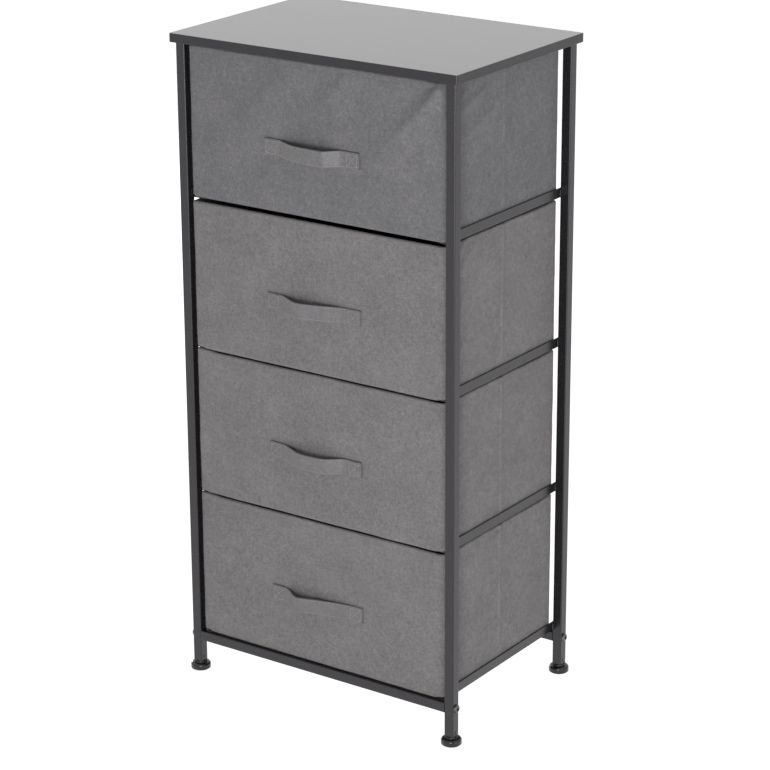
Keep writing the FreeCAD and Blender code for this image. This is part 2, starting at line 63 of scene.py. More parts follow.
class Finish:
    """A procedural material: one principled shader and the textures that feed it."""

    def __init__(self, name, **sockets):
        self.material = bpy.data.materials.new(name)
        self.material.use_nodes = True
        self.tree = self.material.node_tree
        self.surface = self.tree.nodes["Principled BSDF"]
        for socket, value in sockets.items():
            self.surface.inputs[socket.replace("_", " ")].default_value = value
        self.place = self.add("ShaderNodeTexCoord").outputs["Object"]
        self.normal = None

    def add(self, kind, **values):
        node = self.tree.nodes.new(kind)
        for name, value in values.items():
            setattr(node, name, value)
        return node

    def link(self, start, end):
        self.tree.links.new(start, end)

    def noise(self, size, detail=3.0, roughness=0.6, stretch=(1, 1, 1), turn=(0, 0, 0),
              warp=0.0):
        """Cloudy value from 0 to 1 whose spots are about size millimetres across."""
        mapping = self.add("ShaderNodeMapping")
        self.link(self.place, mapping.inputs["Vector"])
        mapping.inputs["Rotation"].default_value = [math.radians(a) for a in turn]
        mapping.inputs["Scale"].default_value = [1 / (size * MM * s) for s in stretch]
        texture = self.add("ShaderNodeTexNoise")
        self.link(mapping.outputs["Vector"], texture.inputs["Vector"])
        texture.inputs["Scale"].default_value = 1.0
        texture.inputs["Detail"].default_value = detail
        texture.inputs["Roughness"].default_value = roughness
        texture.inputs["Distortion"].default_value = warp
        return texture.outputs["Fac"]

    def blend(self, *weighted):
        """Weighted sum of several values."""
        total = None
        for value, weight in weighted:
            scaled = self.add("ShaderNodeMath", operation="MULTIPLY")
            self.link(value, scaled.inputs[0])
            scaled.inputs[1].default_value = weight
            if total is None:
                total = scaled.outputs[0]
                continue
            joined = self.add("ShaderNodeMath", operation="ADD")
            self.link(total, joined.inputs[0])
            self.link(scaled.outputs[0], joined.inputs[1])
            total = joined.outputs[0]
        return total

    def colour(self, value, *stops):
        """Base colour from a value, through stops of place and sRGB code."""
        node = self.add("ShaderNodeValToRGB")
        ramp = node.color_ramp
        while len(ramp.elements) < len(stops):
            ramp.elements.new(1.0)
        for element, (place, code) in zip(ramp.elements, stops):
            element.position = place
            element.color = shade(code)
        self.link(value, node.inputs["Fac"])
        self.link(node.outputs["Color"], self.surface.inputs["Base Color"])

    def gloss(self, value, low, high):
        """Roughness from a value between two ends."""
        spread = self.add("ShaderNodeMapRange")
        self.link(value, spread.inputs["Value"])
        spread.inputs["To Min"].default_value = low
        spread.inputs["To Max"].default_value = high
        self.link(spread.outputs["Result"], self.surface.inputs["Roughness"])

    def relief(self, value, height):
        """Fine surface height in millimetres, laid over any earlier one."""
        bump = self.add("ShaderNodeBump")
        bump.inputs["Strength"].default_value = 1.0
        bump.inputs["Distance"].default_value = height * MM
        self.link(value, bump.inputs["Height"])
        if self.normal is not None:
            self.link(self.normal, bump.inputs["Normal"])
        self.normal = bump.outputs["Normal"]
        self.link(self.normal, self.surface.inputs["Normal"])


def felt(name, dark, mid, light, contrast=0.9, low=0.78, high=0.95, shine=0.25, nap=1.0):
    """Pressed non-woven cloth: matted fibres in two directions, flecks and slow cloudiness."""
    made = Finish(name, Sheen_Weight=0.12, Sheen_Roughness=0.5, Specular_IOR_Level=shine)
    fleck = made.noise(1.3, detail=2.0, roughness=0.7)
    left_fibre = made.noise(1.1, stretch=(6, 6, 1), turn=(20, 35, 0), warp=0.6)
    right_fibre = made.noise(1.1, stretch=(1, 6, 6), turn=(-25, 15, 40), warp=0.6)
    mat = made.noise(2.8, detail=2.0)
    tuft = made.noise(6.0, detail=2.0)
    patch = made.noise(17, detail=3.0)
    cloud = made.noise(60, detail=2.0)
    layers = ((fleck, 0.28), (left_fibre, 0.22), (right_fibre, 0.22), (mat, 0.32), (tuft, 0.24),
              (patch, 0.14), (cloud, 0.16))
    mix = made.blend(*((value, weight * contrast) for value, weight in layers))
    middle, spread = 0.79 * contrast, 0.17
    made.colour(mix, (middle - spread, dark), (middle, mid), (middle + spread, light))
    made.gloss(tuft, low, high)
    made.relief(made.blend((left_fibre, 0.5), (right_fibre, 0.5)), 0.16 * nap)
    made.relief(tuft, 0.22 * nap)
    return made.material


def powder_coat():
    """Baked black paint on steel, with a fine orange peel."""
    made = Finish("powder_coat", IOR=1.54, Specular_Tint=(1.0, 0.94, 1.0, 1.0))
    peel = made.noise(1.8, detail=2.0)
    patch = made.noise(34, detail=4.0)
    made.colour(made.blend((peel, 0.35), (patch, 0.65)), (0.30, "171718"), (0.70, "1e1e20"))
    made.gloss(patch, 0.22, 0.32)
    made.relief(peel, 0.008)
    return made.material


def laminate(name, dark, light, grain, **sockets):
    """Printed charcoal foil with a faint brushed grain along the width."""
    made = Finish(name, **sockets)
    streak = made.noise(grain, detail=5.0, roughness=0.65, stretch=(40, 1, 1))
    cloud = made.noise(45, detail=3.0, stretch=(3, 1, 1))
    pore = made.noise(0.8, detail=1.0, stretch=(7, 1, 1))
    mix = made.blend((streak, 0.55), (cloud, 0.25), (pore, 0.20))
    made.colour(mix, (0.34, dark), (0.66, light))
    made.gloss(streak, 0.24, 0.36)
    made.relief(made.blend((streak, 0.6), (pore, 0.4)), 0.015)
    return made.material


def moulded(name, dark, light, low, high, size=22.0):
    """Moulded plastic with flow clouds and a light scuffing."""
    made = Finish(name, IOR=1.5)
    flow = made.noise(size, detail=4.0)
    scuff = made.noise(1.4, detail=3.0, stretch=(5, 1, 2), turn=(0, 30, 20))
    made.colour(made.blend((flow, 0.6), (scuff, 0.4)), (0.3, dark), (0.7, light))
    made.gloss(scuff, low, high)
    made.relief(scuff, 0.012)
    return made.material


def steel(name, dark, light, low, high):
    """Plated steel with turning marks."""
    made = Finish(name, Metallic=1.0)
    cloud = made.noise(7.0, detail=3.0)
    marks = made.noise(0.6, detail=2.0, stretch=(1, 9, 9))
    made.colour(made.blend((cloud, 0.6), (marks, 0.4)), (0.3, dark), (0.7, light))
    made.gloss(marks, low, high)
    made.relief(marks, 0.01)
    return made.material


def card(name, dark, light):
    """Grey pressed board with short fibres."""
    made = Finish(name, Specular_IOR_Level=0.3)
    fibre = made.noise(1.0, detail=4.0, stretch=(5, 2, 1), turn=(10, 20, 30))
    cloud = made.noise(18, detail=3.0)
    made.colour(made.blend((fibre, 0.6), (cloud, 0.4)), (0.3, dark), (0.7, light))
    made.gloss(cloud, 0.75, 0.92)
    made.relief(fibre, 0.08)
    return made.material


def thread_finish():
    """Twisted sewing thread, paler than the cloth."""
    made = Finish("thread", Sheen_Weight=0.2, Specular_IOR_Level=0.35)
    twist = made.noise(0.5, detail=1.0, stretch=(3, 3, 1), turn=(45, 45, 0))
    made.colour(twist, (0.3, "8c8a89"), (0.7, "b4b2b0"))
    made.gloss(twist, 0.55, 0.75)
    made.relief(twist, 0.05)
    return made.material


# The top drawer's cloth is a darker copy of the bin cloth: painted shade, so the top drawer shows
# darker than the drawers below it.
shaded_top_cloth = felt("top_bin_cloth_painted_shade", "626163", "777679", "8f8c8e")
cloth = felt("bin_cloth", "696667", "817e7f", "9a9696")
inner_cloth = felt("lining_cloth", "5c5b5d", "6c6b6d", "7d7b7b", contrast=0.8)
strap_cloth = felt("strap_cloth", "5a595a", "737173", "8c898a", contrast=0.65,
                   low=0.46, high=0.58, shine=0.5, nap=0.3)
thread = thread_finish()
paint = powder_coat()

FINISHES = {
    "top_laminate": laminate("top_laminate", "302c33", "403b43", 2.2, IOR=1.4,
                             Specular_Tint=(1.0, 0.92, 1.0, 1.0), Coat_Weight=0.85,
                             Coat_Roughness=0.08, Coat_IOR=1.36),
    "top_edging": laminate("top_edging", "18181a", "212123", 1.4, IOR=1.5,
                           Specular_Tint=(1.0, 0.94, 1.0, 1.0)),
    "frame_paint": paint,
    "bolt_steel": steel("black_bolt", "454442", "76736e", 0.14, 0.26),
    "screw_steel": steel("zinc_screw", "8d8f92", "b4b6b8", 0.25, 0.4),
    "nut_plug": steel("plain_plug", "6d6e70", "8a8b8d", 0.35, 0.5),
    "insert_plastic": moulded("insert_plastic", "161617", "202022", 0.3, 0.45),
    "foot_plastic": moulded("foot_plastic", "0f0f10", "191a1b", 0.12, 0.24),
    "stiffener_card": card("stiffener_card", "5a5854", "79766f"),
    "base_card": felt("base_cover", "58575a", "676668", "777576", contrast=0.8),
}
for row in frame["record"]["subparts"]:
    if row["material_slot"] in FINISHES:
        slots = nodes[row["node"]].data.materials
        slots.clear()
        slots.append(FINISHES[row["material_slot"]])


# Pieces

def add_piece(name, points, faces, material, body):
    """Mesh piece from points in millimetres, smooth, riding on a body."""
    mesh = bpy.data.meshes.new(name)
    mesh.from_pydata([[c * MM for c in p] for p in points], [], faces)
    mesh.polygons.foreach_set("use_smooth", [True] * len(mesh.polygons))
    mesh.materials.append(material)
    piece = bpy.data.objects.new(name, mesh)
    bpy.context.scene.collection.objects.link(piece)
    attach(piece, body)
    return piece


def thicken(piece, thickness):
    """Cloth thickness, laid on behind the outer face."""
    solid = piece.modifiers.new("thickness", "SOLIDIFY")
    solid.thickness = thickness * MM
    solid.offset = -1.0
    solid.use_even_offset = True


def ease(x):
    """Smooth step from 0 to 1."""
    x = min(1.0, max(0.0, x))
    return x * x * (3 - 2 * x)


def steps_between(start, end, fine, coarse, margin):
    """Places from start to end, close together within margin of each end."""
    places = [start]
    while places[-1] < end:
        left = min(places[-1] - start, end - places[-1])
        places.append(places[-1] + (fine if left < margin else coarse))
    scale = (end - start) / (places[-1] - start)
    return [start + (p - start) * scale for p in places]


def smooth_curve(points, x):
    """Value at x of a curve through points that never overshoots them."""
    for i in range(len(points) - 1):
        (x0, y0), (x1, y1) = points[i], points[i + 1]
        if x <= x1 or i == len(points) - 2:
            break
    run = x1 - x0

    def slope(k):
        if k <= 0 or k >= len(points) - 1:
            return 0.0
        before = (points[k][1] - points[k - 1][1]) / (points[k][0] - points[k - 1][0])
        after = (points[k + 1][1] - points[k][1]) / (points[k + 1][0] - points[k][0])
        return 0.0 if before * after <= 0 else 2 * before * after / (before + after)

    t = min(1.0, max(0.0, (x - x0) / run))
    return ((1 + 2 * t) * (1 - t) ** 2 * y0 + t * (1 - t) ** 2 * run * slope(i)
            + t * t * (3 - 2 * t) * y1 + t * t * (t - 1) * run * slope(i + 1))


def quads(first, second, count, inward=False):
    """Faces between two rings of points that start at the indices first and second."""
    for k in range(count):
        after = (k + 1) % count
        corners = (first + k, first + after, second + after, second + k)
        yield corners[:1] + corners[:0:-1] if inward else corners


# A drag runs from its root to its tip. Its crest stands proud by height at the root, dies out
# at the tip, and falls away over one width on its upper side and another on its lower side.
# A crease is the same, but dies out at both ends.

FRONT_DRAGS = {
    1: [((204, 207), (84, 80), 10.0, 24, 42), ((201, 206), (150, 197), 2.0, 5, 7),
        ((203, 203), (190, 150), 2.0, 6, 6), ((201, 204), (168, 184), 1.6, 4, 4),
        ((-199, 203), (-150, 150), 1.2, 14, 14)],
    2: [((201, 200), (150, 176), 1.3, 10, 22), ((-199, 202), (-165, 170), 0.9, 9, 9)],
    3: [((201, 196), (138, 120), 1.5, 9, 20), ((201, 199), (176, 186), 1.0, 5, 6)],
    4: [((201, 198), (168, 172), 0.9, 8, 12), ((-199, 200), (-160, 165), 0.8, 9, 9)],
}
FRONT_CREASES = {
    1: [((-37, 196), (-96, 130), 2.4, 12, 18), ((66, 204), (2, 142), 2.6, 10, 18)],
    2: [((-60, 196), (-110, 118), 1.6, 16, 20)],
    3: [((-20, 12), (40, 70), 0.7, 18, 18)],
    4: [((120, 10), (170, 60), 0.8, 16, 16)],
}
# On a side, the first number is the distance from the front edge.
SIDE_CREASES = {
    1: [((98, 187), (20, 161), 2.6, 4, 6), ((46, 192), (8, 164), 2.2, 3.5, 5),
        ((116, 158), (28, 124), 2.0, 5, 7)],
    2: [((44, 206), (6, 168), 2.3, 4, 6), ((78, 206), (26, 162), 2.1, 4, 6),
        ((108, 202), (56, 156), 1.7, 5, 7)],
    3: [((60, 198), (8, 148), 1.3, 6, 8), ((124, 92), (66, 18), 1.1, 9, 11)],
    4: [((50, 198), (10, 154), 1.0, 6, 8), ((240, 190), (190, 110), 0.8, 14, 16)],
}
# How far the front's lower edge hangs between its ends
SAG = {1: 0.0, 2: 2.0, 3: 1.7, 4: 2.3}
# How far the left and right ends of the front's lower edge ride up, how far its rim hangs,
# and how far the rim's left end rides up
LIFT = {1: (2.0, 0.5), 2: (0.0, 0.0), 3: (0.0, 0.0), 4: (0.0, 0.0)}
RIM_HANG = {1: 0.0, 2: 1.3, 3: 0.3, 4: 0.3}
RIM_LIFT = {1: 0.0, 2: 0.0, 3: 1.7, 4: 1.7}
# How far a drag reaches past its root, as a share of its length, its share of width at the root,
# and the powers by which it dies out along its crest and falls away beside it
DRAG_ROOT = 0.15
DRAG_NECK = 0.22
DRAG_FADE = 0.8
DRAG_FALL = 1.4


def across_line(line, x, z):
    """Share of the way along a line, and the distance above it."""
    (x0, z0), (x1, z1) = line
    dx, dz = x1 - x0, z1 - z0
    length = math.hypot(dx, dz)
    along = ((x - x0) * dx + (z - z0) * dz) / length ** 2
    above = ((x - x0) * dz - (z - z0) * dx) / length
    return along, -above if dx > 0 else above


def drag_height(drag, x, z):
    """How far one drag lifts the cloth at a place on its panel."""
    root, tip, height, upper, lower = drag
    along, above = across_line((root, tip), x, z)
    if along < -DRAG_ROOT or along > 1.0:
        return 0.0
    growth = DRAG_NECK + (1 - DRAG_NECK) * max(along, 0.0)
    width = growth * (upper if above > 0 else lower)
    rise = ease((along + DRAG_ROOT) / (2 * DRAG_ROOT))
    crest = height * rise * (1 - max(along, 0.0)) ** DRAG_FADE
    return crest * math.exp(-abs(above / width) ** DRAG_FALL)


def crease_height(crease, x, z):
    """How far one crease lifts the cloth at a place on its panel."""
    start, end, height, upper, lower = crease
    along, above = across_line((start, end), x, z)
    if along < 0.0 or along > 1.0:
        return 0.0
    width = upper if above > 0 else lower
    return height * math.sin(math.pi * along) * math.exp(-(above / width) ** 2)


class Bin:
    """The cloth of one drawer, as a box with soft edges round its stiffeners."""

    # corner radius and slack of the cloth: front right, rear right, rear left, front left
    RADII = (10.0, 3.2, 3.2, 4.5)
    SLACK = (0.4, 0.2, 0.2, 0.0)
    CORNER_STEPS = 6
    LEAST_RADIUS = 0.5
    # steps of the mesh: fine near an end, coarse elsewhere, and how far the end reaches
    PANEL_STEPS = (2.2, 3.6, 60)
    BACK_STEPS = (4.0, 6.0, 60)
    WALL_STEPS = (2.4, 3.8, 26)
    LINING_STEPS = (4, 9, 14)
    # rounded lower edge, and how much further in the flat base starts
    FOOT = 1.8
    FOOT_STEPS = 5
    BASE_STRIP = 0.06
    # rolled rim, and the hem turned in below it
    ROLL_STEPS = 6
    HEM = 14.0
    HEM_STEPS = 4
    # ridge of a side's fold: place behind the side's middle, and how far it stands proud
    FOLD = ((-34, 0), (-6, 0.7), (-0.8, 2.3), (3.6, 0.6), (12, 0.1), (30, 0))
    FOLD_CLEAR = 12
    FOLD_PITCH = 0.8
    FOLD_STEPS = 14
    # share of the front's half width over which its lower edge hangs, and how abruptly it ends
    SAG_REACH = 0.951
    SAG_POWER = 60
    # how far up the front, and how far back along the sides, the hanging edge can be seen
    SAG_HEIGHT = 60
    SAG_DEPTH = 60
    # the strap's sewn ends hold the cloth flat this far round them, and it is free further out
    STRAP_MARGIN = 4
    STRAP_FADE = 28
    LEAST_SWELL = 0.02
    SKIN_CLOTH = 0.9
    LINING_CLOTH = 0.3
    LINING_INSET = 0.8

    def __init__(self, number):
        self.number = number
        # the top drawer takes the darker cloth with painted shade
        self.cloth = shaded_top_cloth if number == 1 else cloth
        low, high = (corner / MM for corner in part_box(f"drawer_{number}_skin"))
        self.low = low
        self.width = high.x - low.x
        self.depth = high.y - low.y
        self.height = high.z - low.z
        strap_low, strap_high = (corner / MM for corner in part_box(f"drawer_{number}_strap"))
        self.strap_low, self.strap_high = strap_low, strap_high
        self.sides = (
            (Vector((low.x, low.y)), Vector((1, 0)), self.width),
            (Vector((high.x, low.y)), Vector((0, 1)), self.depth),
            (Vector((high.x, high.y)), Vector((-1, 0)), self.width),
            (Vector((low.x, high.y)), Vector((0, -1)), self.depth),
        )
        self.columns = []
        for side, (_, _, length) in enumerate(self.sides):
            first, last = self.RADII[side - 1], length - self.RADII[side]
            steps = self.BACK_STEPS if side == 2 else self.PANEL_STEPS
            places = steps_between(first, last, *steps)
            if side in (1, 3):
                middle = length / 2
                places = [p for p in places if abs(p - middle) > self.FOLD_CLEAR]
                places += [middle + self.FOLD_PITCH * step
                           for step in range(-self.FOLD_STEPS, self.FOLD_STEPS + 1)]
                places.sort()
            for place in places:
                self.columns.append((side, place, 0.0))
            for step in range(1, self.CORNER_STEPS):
                self.columns.append((side, length, step / self.CORNER_STEPS))

    def ring_point(self, column, inset):
        """Place and outward direction of a column on the box drawn in by inset."""
        side, place, turn = column
        start, along, length = self.sides[side]
        out = Vector((along.y, -along.x))
        before, after = self.RADII[side - 1], self.RADII[side]
        tight_before = max(before - inset, self.LEAST_RADIUS)
        tight_after = max(after - inset, self.LEAST_RADIUS)
        first, last = inset + tight_before, length - inset - tight_after
        if turn:
            centre = start + along * last - out * (inset + tight_after)
            angle = turn * math.pi / 2
            out = out * math.cos(angle) + along * math.sin(angle)
            return centre + out * tight_after, out
        share = (place - before) / (length - before - after)
        return start + along * (first + share * (last - first)) - out * inset, out

    def panel_swell(self, side, place, height):
        """How far a panel stands proud of its flat stiffener."""
        seed = 17.0 * self.number + 5.0 * side
        spot = Vector((place, height, 0))

        def wave(size, layer):
            return noise.noise(spot / size + Vector((0, 0, seed + layer)))

        swell = 0.45 + 0.55 * wave(75, 0)
        swell += 0.20 * wave(19, 2)
        if side == 0:
            x = place - self.width / 2
            swell += 0.9 + 0.7 * wave(48, 6)
            swell += sum(drag_height(d, x, height) for d in FRONT_DRAGS[self.number])
            swell += sum(crease_height(c, x, height) for c in FRONT_CREASES[self.number])
            swell *= self.off_strap(x, height)
        elif side == 2:
            swell += 0.5 * wave(110, 4)
        else:
            from_front = place if side == 1 else self.depth - place
            swell = self.side_swell(swell, from_front, height, seed)
        return max(swell, self.LEAST_SWELL)

    def side_swell(self, swell, from_front, height, seed):
        """A side's swell with slanting wrinkles, creases and the fold, held in near the rail."""
        across, along = 0.77 * from_front - 0.64 * height, 0.64 * from_front + 0.77 * height
        swell += 0.65 * noise.noise(Vector((across / 17, along / 75, seed + 8)))
        swell += sum(crease_height(c, from_front, height) for c in SIDE_CREASES[self.number])
        bulge = 1.5 * ease((from_front - 140) / 70)
        tuck = 1.9 * max(0.0, (from_front - 222) / 40) ** 2
        swell += bulge - tuck - 0.2
        behind = from_front - self.depth / 2
        beside_fold = 1 - 0.7 * math.exp(-(behind / 12) ** 2)
        swell = max(swell, self.LEAST_SWELL) * beside_fold + smooth_curve(self.FOLD, behind)
        limit = 1.0 + 1.5 * ease((height - 16) / 12)
        return min(swell, limit) * ease((height - 6) / 28)

    def off_strap(self, x, height):
        """Zero where the strap's sewn ends hold the cloth flat, one away from it."""
        level, margin = height + self.low.z, self.STRAP_MARGIN
        low, high = self.strap_low, self.strap_high
        away_x = max(low.x - margin - x, x - high.x - margin, 0)
        away_z = max(low.z - margin - level, level - high.z - margin, 0)
        return ease(math.hypot(away_x, away_z) / self.STRAP_FADE)

    def swell(self, column, height):
        """How far the cloth stands proud at a column, drawn in a little at the corners."""
        side, place, turn = column
        if not turn:
            return self.panel_swell(side, place, height)
        slack = self.SLACK[side] * (1 + 0.4 * noise.noise(Vector((height / 21, side, self.number))))
        slack *= 0.4 + 0.6 * ease((height - 14) / 20)
        radius = self.RADII[side]
        near = self.panel_swell(side, place - radius, height)
        far = self.panel_swell((side + 1) % 4, radius, height)
        return near * (1 - turn) + far * turn - slack * math.sin(turn * math.pi)

    def front_share(self, column):
        """One on the front and its corners, fading to zero along the sides."""
        side, place, turn = column
        if side == 0 or (side == 3 and turn):
            return 1.0
        if side == 2 or turn:
            return 0.0
        from_front = place if side == 1 else self.depth - place
        return ease(1 - from_front / self.SAG_DEPTH)

    def drop(self, column, height):
        """How far the cloth hangs below its flat place."""
        share = self.front_share(column)
        if not share:
            return 0.0
        side, place, _ = column
        across = (place - self.width / 2) / (self.width / 2) if side == 0 else 2 - side
        left, right = LIFT[self.number]
        hang = SAG[self.number] * max(0.0, 1 - (across / self.SAG_REACH) ** self.SAG_POWER)
        hang -= left * (1 - across) / 2 + right * (1 + across) / 2
        wave = max(0.0, 1 - across ** 4)
        hang += 0.35 * wave * noise.noise(Vector((place / 42, self.number, 3)))
        rim = RIM_HANG[self.number] + 0.4 * wave * noise.noise(Vector((place / 60, self.number, 9)))
        rim -= RIM_LIFT[self.number] * ease((-across - 0.8) / 0.15)
        low_share = max(0.0, 1 - height / self.SAG_HEIGHT) ** 2
        high_share = ease((height / self.height - 0.7) / 0.3)
        return (hang * low_share + rim * high_share) * share

    def wall_point(self, column, inset, height, share=1.0):
        """Point on the cloth, with a share of its swell."""
        place, out = self.ring_point(column, inset)
        place = place + out * self.swell(column, min(max(height, 0), self.height)) * share
        level = self.low.z + height - self.drop(column, height)
        return Vector((place.x, place.y, level))

    def make_skin(self):
        """Outer cloth: base, rounded lower edge, walls, rolled rim and hem."""
        rows = []
        for step in range(self.FOOT_STEPS):
            angle = math.pi / 2 * (step / self.FOOT_STEPS - 1)
            rows.append((self.FOOT * (1 - math.cos(angle)), self.FOOT * (1 + math.sin(angle)),
                         step / self.FOOT_STEPS))
        lip = self.low.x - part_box(f"drawer_{self.number}_lining")[0].x / MM
        roll = (abs(lip) + 1.0) / 2
        for height in steps_between(self.FOOT, self.height - roll, *self.WALL_STEPS):
            rows.append((0.0, height, 1.0))
        for step in range(1, self.ROLL_STEPS + 1):
            angle = math.pi * step / self.ROLL_STEPS
            rows.append((roll * (1 - math.cos(angle)), self.height - roll + roll * math.sin(angle),
                         (1 + math.cos(angle)) / 2))
        for step in range(1, self.HEM_STEPS + 1):
            below = (self.HEM - roll) * step / self.HEM_STEPS
            rows.append((2 * roll, self.height - roll - below, 0.0))
        base = [self.ring_point(c, self.FOOT + self.BASE_STRIP)[0] for c in self.columns]
        points = [Vector((p.x, p.y, self.low.z)) for p in base]
        points += [self.wall_point(c, *row) for row in rows for c in self.columns]
        count = len(self.columns)
        faces = []
        for row in range(len(rows)):
            faces += quads(row * count, (row + 1) * count, count)
        faces.append(tuple(range(count))[::-1])
        name = f"drawer_{self.number}_fabric"
        skin = add_piece(name, points, faces, self.cloth, f"drawer_{self.number}")
        thicken(skin, self.SKIN_CLOTH)
        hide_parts(f"drawer_{self.number}_skin")

    def make_lining(self):
        """Inner cloth, with shallow creases away from the corners."""
        number = self.number
        low, high = (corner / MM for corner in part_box(f"drawer_{number}_lining"))
        floor_level = (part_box(f"drawer_{number}_base_board")[0] / MM).z - self.low.z
        rim_level = high.z - self.low.z
        inset = low.x - self.low.x
        rows = [(floor_level, inset + self.LINING_INSET, 0.0)]
        for height in steps_between(floor_level + 2, rim_level - 3, *self.LINING_STEPS):
            rows.append((height, inset + self.LINING_INSET, 1.0))
        rows.append((rim_level, inset + self.LINING_INSET * 0.6, 0.0))
        points = []
        for height, row_inset, share in rows:
            for column in self.columns:
                place, out = self.ring_point(column, row_inset)
                broad = noise.noise(Vector((place.x / 40, place.y / 40, height / 50)))
                narrow = noise.noise(Vector((place.x / 13, place.y / 13, height / 30)))
                crease = 0.55 + 0.55 * broad + 0.25 * narrow
                side, along, turn = column
                length = self.sides[side][2]
                clear = 0.0 if turn else ease((min(along, length - along) - 10) / 20)
                place = place - out * max(crease, 0) * share * clear
                points.append((place.x, place.y, self.low.z + height))
        count = len(self.columns)
        faces = []
        for row in range(len(rows) - 1):
            faces += quads(row * count, (row + 1) * count, count, inward=True)
        faces.append(tuple(range(count)))
        name = f"drawer_{number}_inner_cloth"
        lining = add_piece(name, points, faces, inner_cloth, f"drawer_{number}")
        thicken(lining, self.LINING_CLOTH)
        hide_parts(f"drawer_{number}_lining")


# Straps: distance along the strap from its left end, and how far it stands off the front

STRAP_CURVES = {
    1: ((0, 0), (22, 0.3), (34, 4.6), (46, 9.4), (58, 12.2), (80, 13.2), (100, 13.8), (102.5, 14.0),
        (104.5, 13.0), (120, 1.6), (123, 0.4), (144, 0), (150, 0.7)),
    2: ((0, 0), (22, 0.4), (35, 5.4), (48, 11.8), (58, 14.0), (68, 13.4), (84, 10.4), (100, 6.6),
        (114, 2.6), (124, 0.4), (144, 0), (150, 0.7)),
    3: ((0, 0), (22, 0.8), (36, 5.4), (50, 11.2), (64, 13.8), (82, 14.0), (98, 12.2), (112, 6.0),
        (122, 1.2), (128, 0.4), (138, 1.4), (146, 0.8), (150, 0.6)),
    4: ((0, 0), (22, 0.8), (34, 6.0), (44, 12.4), (52, 14.0), (62, 12.4), (80, 8.4), (100, 4.8),
        (118, 2.2), (130, 0.8), (144, 0.2), (150, 0.7)),
}
STRAP_DROOP = {1: 1.2, 2: 1.2, 3: 2.4, 4: 2.6}
STRAP_THICKNESS = 2.0
STRAP_GAP = 0.7
# Section of the strap. Its face has places up a 22 mm strap and how far they stand out. Its
# folded edge has insets and shares of the thickness. Its back has shares of the width, and whether
# the stitches pull them down.
STRAP_FACE = ((0.5, -0.1), (1.2, 0.0), (3.0, 0.05), (6.5, 0.0), (11.0, -0.02), (15.5, 0.0),
              (19.0, 0.05), (20.8, 0.0), (21.5, -0.1))
STRAP_FACE_WIDTH = 22
STRAP_EDGE = ((0.0, 0.16), (0.05, 0.28), (1.3, 0.42), (1.3, 0.58), (0.05, 0.72), (0.0, 0.84))
STRAP_BACK = ((0.97, 0), (0.86, 0), (0.8, 1), (0.5, 1), (0.2, 1), (0.14, 0), (0.03, 0))


class Strap:
    """Folded webbing sewn to a bin's front at both ends, its edges a little off the cloth."""

    END = 22.0
    # open end between the folded layers: inset from the edges, share of thickness, and depth
    MOUTH_INSET = 1.5
    MOUTH_SHARE = 0.62
    MOUTH_DEPTH = 2.6

    def __init__(self, number):
        self.number = number
        low, high = (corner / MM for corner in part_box(f"drawer_{number}_strap"))
        self.left = low.x
        self.length = high.x - low.x
        self.low = low.z
        self.width = high.z - low.z
        self.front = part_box(f"drawer_{number}_skin")[0].y / MM
        top = max(y for _, y in STRAP_CURVES[number])
        self.reach = self.front - low.y - STRAP_THICKNESS
        self.curve = [(x, y * self.reach / top) for x, y in STRAP_CURVES[number]]

    def surface(self, along, up, lift=0.0):
        """Point on the strap's outer face: along it from the left, up from its lower edge."""
        step = 0.5
        off = smooth_curve(self.curve, along)
        ahead, behind = (smooth_curve(self.curve, along + d) for d in (step, -step))
        slope = (ahead - behind) / (2 * step)
        length = math.hypot(1, slope)
        out = STRAP_THICKNESS + lift
        share = off / self.reach
        droop = STRAP_DROOP[self.number] * share
        lean = 0.9 * share * (up / self.width - 0.5)
        wave = 0.3 * noise.noise(Vector((along / 14, self.number, up / 30)))
        x = self.left + along - slope / length * lift
        y = self.front - off - STRAP_GAP - out / length - lean - wave * ease(off / 4)
        return Vector((x, y, self.low + up - droop))

    def sewn_share(self, along):
        """One where the stitches pull the strap's back down onto the cloth."""
        from_end = min(along, self.length - along)
        return ease((from_end - 1.5) / 2) * ease((self.END - 1.5 - from_end) / 3)

    def open_end(self, points, faces, section, rim, end, floor):
        """The end of the folded strap, open between its layers."""
        count = len(section)
        rings = [rim]
        half = STRAP_THICKNESS / 2
        for station in (end, floor):
            rings.append(len(points))
            for up, lift, _ in section:
                inner = min(max(up, self.MOUTH_INSET), self.width - self.MOUTH_INSET)
                depth = self.MOUTH_SHARE * (lift + half) - half
                points.append(self.surface(station, inner, depth))
        turned = 1 if end < floor else -1
        for a, b in zip(rings, rings[1:]):
            faces += [corners[::turned] for corners in quads(a, b, count)]
        faces.append(tuple(rings[-1] + k for k in range(count))[::turned])

    def make(self):
        """The strap's section along its curve, open at both ends."""
        stations = steps_between(0.0, self.length, 0.9, 1.8, 6)
        deep = STRAP_THICKNESS
        width = self.width
        section = [(up / STRAP_FACE_WIDTH * width, lift, 0) for up, lift in STRAP_FACE]
        section += [(width - inset, -share * deep, 0) for inset, share in STRAP_EDGE]
        section += [(width * share, -deep, pulled) for share, pulled in STRAP_BACK]
        section += [(inset, -share * deep, 0) for inset, share in reversed(STRAP_EDGE)]
        points = []
        for station in stations:
            pull = STRAP_GAP * self.sewn_share(station)
            points += [self.surface(station, up, lift - pulled * pull)
                       for up, lift, pulled in section]
        count = len(section)
        faces = []
        last = len(stations) - 1
        for row in range(last):
            faces += quads(row * count, (row + 1) * count, count, inward=True)
        self.open_end(points, faces, section, 0, 0.0, self.MOUTH_DEPTH)
        self.open_end(points, faces, section, last * count, self.length,
                      self.length - self.MOUTH_DEPTH)
        body = f"drawer_{self.number}"
        strap = add_piece(f"{body}_handle", points, faces, strap_cloth, body)
        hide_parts(f"{body}_strap")
        length = sum((self.surface(b, 0) - self.surface(a, 0)).length
                     for a, b in zip(stations, stations[1:]))


# Stitches

STITCH_SIDES = 6
